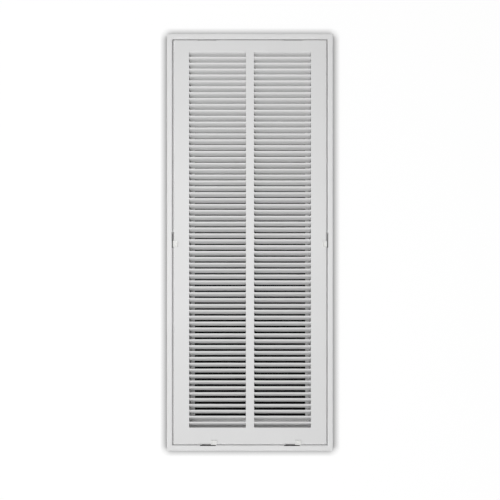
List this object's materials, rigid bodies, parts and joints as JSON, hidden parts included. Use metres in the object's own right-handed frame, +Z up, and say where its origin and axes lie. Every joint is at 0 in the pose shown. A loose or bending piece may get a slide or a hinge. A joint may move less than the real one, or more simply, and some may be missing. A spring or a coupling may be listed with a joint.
{
  "type": "return air filter grille",
  "caption": "Tall wall or ceiling return air grille: a white steel frame with a neck for a flat filter and a louvred door hinged at the top with sliding latches.",
  "frame": {"origin": "centre of the wall opening, on the wall plane at the back of the face flange", "axes": "front faces -Y, +Y goes into the wall, +X is right as seen from the back of the room facing the grille, +Z is up"},
  "size_m": [0.2696, 0.04, 0.676],
  "materials": {
    "frame_coat": "satin white powder coat",
    "door_coat": "satin white powder coat",
    "zinc_steel": "zinc plated",
    "latch_plastic": "fine moulded"
  },
  "bodies": {
    "frame": {"left_rail": "frame_coat", "right_rail": "frame_coat", "top_rail": "frame_coat", "bottom_rail": "frame_coat", "corner_key_top_left": "zinc_steel", "corner_key_top_right": "zinc_steel", "corner_key_bottom_left": "zinc_steel", "corner_key_bottom_right": "zinc_steel", "hinge_bracket_left": "frame_coat", "hinge_bracket_right": "frame_coat", "hinge_pin_left": "frame_coat", "hinge_pin_right": "frame_coat"},
    "door": {"louvre_panel": "door_coat", "hinge_leaf_left": "door_coat", "hinge_leaf_right": "door_coat", "keeper_bottom_left": "zinc_steel", "keeper_bottom_right": "zinc_steel", "keeper_side_left": "zinc_steel", "keeper_side_right": "zinc_steel"},
    "latch_bottom_left": {"latch_bottom_left": "latch_plastic"},
    "latch_bottom_right": {"latch_bottom_right": "latch_plastic"},
    "latch_side_left": {"latch_side_left": "latch_plastic"},
    "latch_side_right": {"latch_side_right": "latch_plastic"}
  },
  "joints": [
    {"name": "door_hinge", "type": "hinge", "parent": "frame", "child": "door", "pos_m": [0, -0.0062, 0.3259], "axis": [-1, 0, 0], "range_deg": [0, 100]},
    {"name": "latch_bottom_left_slide", "type": "slide", "parent": "door", "child": "latch_bottom_left", "axis": [1, 0, 0], "range_m": [-0.0194, 0]},
    {"name": "latch_bottom_right_slide", "type": "slide", "parent": "door", "child": "latch_bottom_right", "axis": [1, 0, 0], "range_m": [-0.0194, 0]},
    {"name": "latch_side_left_slide", "type": "slide", "parent": "door", "child": "latch_side_left", "axis": [0, 0, -1], "range_m": [-0.0164, 0.003]},
    {"name": "latch_side_right_slide", "type": "slide", "parent": "door", "child": "latch_side_right", "axis": [0, 0, -1], "range_m": [-0.0164, 0.003]}
  ]
}
